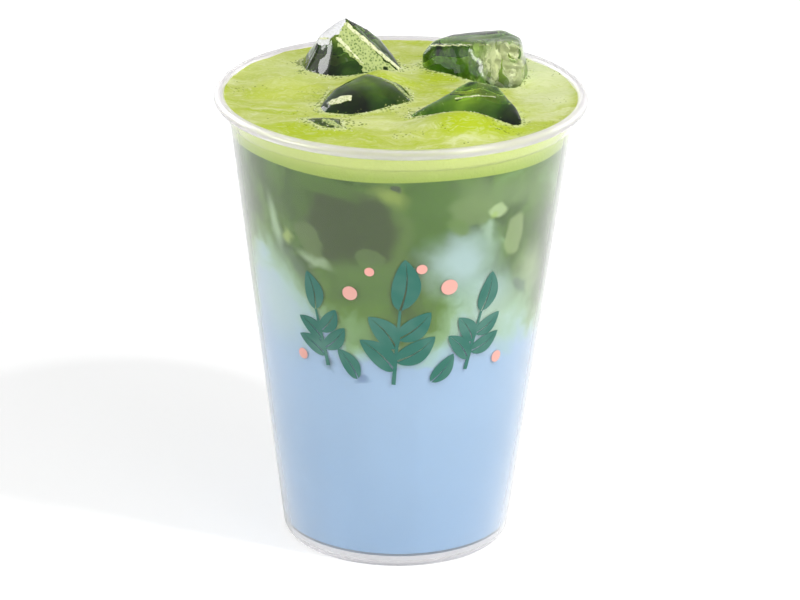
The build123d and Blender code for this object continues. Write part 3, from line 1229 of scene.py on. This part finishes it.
class Print:
    """A generic printed design of tea sprigs and berries, wrapped on the front of the cup."""

    proud = 0.04

    def wrapped(self, mesh: bmesh.types.BMesh) -> None:
        """Bends flat shapes onto the wall.

        Args:
            mesh: the shapes, with x as millimetres round from the front and z as height.
        """
        for corner in mesh.verts:
            height = corner.co.z
            radius = SHAPE.radius(height) + self.proud + corner.co.y
            angle = corner.co.x / SHAPE.radius(70.0)
            corner.co = (radius * sin(angle), -radius * cos(angle), height)

    def leaf(self, mesh: bmesh.types.BMesh, base: Vector, lean: float, length: float, width: float) -> None:
        """Adds one leaf, split along its middle by a bare vein.

        Args:
            mesh: the print so far.
            base: where its stalk is.
            lean: its direction in degrees from upright, to the right.
            length: from stalk to tip.
            width: across.
        """
        along = Vector((sin(radians(lean)), 0, cos(radians(lean))))
        across = Vector((along.z, 0, -along.x))
        for side in (-1, 1):
            made = bmesh.ops.create_grid(mesh, x_segments=14, y_segments=3, size=0.5)["verts"]
            for corner in made:
                share, out = corner.co.x + 0.5, corner.co.y + 0.5
                bulge = sin(pi * share**0.85) ** 0.75 * width / 2
                offset = side * (0.045 * width * (1 - share) + out * bulge)
                bend = 0.07 * length * sin(pi * share)
                corner.co = base + along * share * length + across * (offset + bend)

    def stem(self, mesh: bmesh.types.BMesh, start: Vector, end: Vector, bow: float, thick: float) -> None:
        """Adds one curved stalk.

        Args:
            mesh: the print so far.
            start: its lower end.
            end: its upper end.
            bow: how far its middle bends sideways.
            thick: its width.
        """
        line = end - start
        across = Vector((line.z, 0, -line.x)).normalized()
        made = bmesh.ops.create_grid(mesh, x_segments=16, y_segments=1, size=0.5)["verts"]
        for corner in made:
            share = corner.co.x + 0.5
            taper = thick * (1 - 0.4 * share)
            corner.co = start + line * share + across * (bow * sin(pi * share) + corner.co.y * taper)

    def dot(self, mesh: bmesh.types.BMesh, middle: Vector, radius: float) -> None:
        """Adds one round berry."""
        turn = Matrix.Rotation(pi / 2, 4, "X")
        bmesh.ops.create_circle(
            mesh, cap_ends=True, cap_tris=True, segments=28, radius=radius, matrix=Matrix.Translation(middle) @ turn
        )

    def sprig(self, mesh: bmesh.types.BMesh, x: float, z: float, lean: float, size: float) -> None:
        """Adds a stalk with paired leaves and a leaf at its tip.

        Args:
            mesh: the print so far.
            x: millimetres round from the front.
            z: height of its foot.
            lean: its direction in degrees from upright.
            size: its length.
        """
        foot = Vector((x, 0, z))
        way = Vector((sin(radians(lean)), 0, cos(radians(lean))))
        tip = foot + way * size * 0.62
        self.stem(mesh, foot, tip, 0.0, 1.1)
        self.leaf(mesh, tip, lean, size * 0.42, size * 0.2)
        for share, spread, length in ((0.25, 52, 0.36), (0.55, 44, 0.33)):
            for side in (-1, 1):
                place = foot + (tip - foot) * (share + 0.06 * side)
                self.leaf(mesh, place, lean + side * spread, size * length, size * 0.17)

    def build(self) -> None:
        """Makes the green and the pink print."""
        green = bmesh.new()
        for x, z, lean, size in ((-1.0, 53.5, 4, 34), (-19.0, 57.0, -10, 25), (18.5, 56.5, 12, 26)):
            self.sprig(green, x, z, lean, size)
        for x, z, lean in ((-10.5, 54.5, -35), (9.0, 54.0, 38)):
            self.leaf(green, Vector((x, 0, z)), lean, 9.5, 4.4)
        pink = bmesh.new()
        for x, z, radius in ((-12.0, 78.5, 1.9), (12.5, 80.5, 2.1), (-27.0, 58.5, 1.5), (28.5, 58.0, 1.6), (5.5, 86.0, 1.3), (-7.0, 85.0, 1.2)):
            self.dot(pink, Vector((x, 0, z)), radius)
        for name, mesh, colour in (("green_print", green, "226B5C"), ("pink_print", pink, "F0AC9F")):
            bmesh.ops.recalc_face_normals(mesh, faces=mesh.faces)
            made = bmesh.ops.solidify(mesh, geom=mesh.faces[:], thickness=0.03)
            del made
            self.wrapped(mesh)
            bmesh.ops.recalc_face_normals(mesh, faces=mesh.faces)
            piece = finished(name, mesh, InkFinish(name + "_ink", colour).build())
            carried(piece, "clear_plastic")


class Studio:
    """The pale floor, the white surround, the lamps and the camera."""

    far = 1.1154
    tilt = 0.3692
    aim_height = 0.060
    lens = 193.9

    def white_to_view(self, tree: bpy.types.NodeTree) -> bpy.types.NodeSocket:
        """One for rays from the camera, mirrors and clear pieces, nothing for the rest."""
        path = add(tree, "LightPath")
        seen = add(tree, "Math", {0: path.outputs["Is Camera Ray"], 1: path.outputs["Is Glossy Ray"]}, operation="MAXIMUM")
        through = add(tree, "Math", {0: seen.outputs[0], 1: path.outputs["Is Transmission Ray"]}, operation="MAXIMUM")
        return through.outputs[0]

    def floor(self) -> None:
        """A white sweep that keeps the cup's soft shadow."""
        material, tree, out = new_material("white_card")
        seen = self.white_to_view(tree)
        place = add(tree, "TexCoord").outputs["Object"]
        away = add(tree, "VectorMath", {0: place}, operation="LENGTH")
        lit = add(tree, "MapRange", {"Value": away.outputs["Value"], "From Min": 0.2, "From Max": 0.5, "To Min": 0.5, "To Max": 0.9})
        share = add(tree, "Math", {0: seen, 1: lit.outputs[0]}, operation="MULTIPLY")
        card = add(tree, "BsdfDiffuse", {"Color": linear("F6F6F6")})
        glow = add(tree, "Emission", {"Color": (1, 1, 1, 1), "Strength": 1.3})
        mixed = add(tree, "MixShader", {0: share.outputs[0], 1: card.outputs[0], 2: glow.outputs[0]})
        tree.links.new(mixed.outputs[0], out.inputs[0])
        mesh = bmesh.new()
        bmesh.ops.create_grid(mesh, x_segments=1, y_segments=1, size=4000)
        finished("floor", mesh, material)

    def world(self) -> None:
        """A plain white surround, softer as a light than as a background."""
        world = bpy.data.worlds.new("studio")
        bpy.context.scene.world = world
        world.use_nodes = True
        tree = world.node_tree
        tree.nodes.clear()
        strength = add(tree, "MapRange", {"Value": self.white_to_view(tree), "To Min": 0.5, "To Max": 1.0})
        sky = add(tree, "Background", {"Color": (1, 1, 1, 1), "Strength": strength.outputs[0]})
        tree.links.new(sky.outputs[0], add(tree, "OutputWorld").inputs[0])

    def lamp(self, name: str, place: tuple, size: float, power: float, mirrored_only: bool = False) -> None:
        """Hangs one square lamp that faces the cup.

        Args:
            name: the lamp's name.
            place: where it hangs, in metres.
            size: its side, in metres.
            power: its watts.
            mirrored_only: if it only shows as a highlight and lights nothing.
        """
        data = bpy.data.lights.new(name, "AREA")
        data.size = size
        data.energy = power
        lamp = bpy.data.objects.new(name, data)
        bpy.context.scene.collection.objects.link(lamp)
        lamp.location = place
        aim = Vector((0, 0, self.aim_height)) - Vector(place)
        lamp.rotation_euler = aim.to_track_quat("-Z", "Y").to_euler()
        lamp.visible_diffuse = not mirrored_only

    def camera(self) -> None:
        """A long lens, looking a little down on the cup."""
        data = bpy.data.cameras.new("camera")
        data.lens = self.lens
        data.sensor_width = 36
        data.clip_end = 100
        camera = bpy.data.objects.new("camera", data)
        bpy.context.scene.collection.objects.link(camera)
        place = Vector((0, -self.far * cos(self.tilt), self.aim_height + self.far * sin(self.tilt)))
        turn = Matrix.Rotation(-0.00041, 4, "Z") @ Matrix.Rotation(pi / 2 - self.tilt + 0.00214, 4, "X")
        camera.matrix_world = Matrix.Translation(place) @ turn @ Matrix.Rotation(0.0133, 4, "Z")
        bpy.context.scene.camera = camera

    def build(self) -> None:
        """Sets the whole studio up."""
        self.floor()
        self.world()
        self.lamp("key", (0.38, -0.29, 0.70), 0.04, 2.4)
        self.lamp("front_fill", (0.95, -1.0, 0.42), 0.9, 8.2)
        self.lamp("left_fill", (-1.1, -0.55, 0.35), 0.8, 4.6)
        self.lamp("left_panel", (-0.70, 0.50, 0.50), 0.6, 6.0, True)
        self.lamp("right_panel", (0.75, 0.45, 0.45), 0.5, 3.0, True)
        self.lamp("left_glint", (-0.93, -0.42, 0.47), 0.3, 6.0, True)
        self.camera()
        bpy.context.scene.view_settings.view_transform = "Standard"


def main() -> None:
    """Builds every piece in order."""
    logging.basicConfig(level=logging.INFO)
    random.seed(7)
    Cup().build()
    ice = Ice()
    ice.build()
    ice.froth()
    ice.cracks(CrackFinish().build())
    drink = Drink()
    drink.build(ice)
    drink.bubbles(ice, FrothFinish("bubble_film", "B9C67A", "E9ECC6").build())
    Print().build()
    Studio().build()


if __name__ == "__main__":
    main()
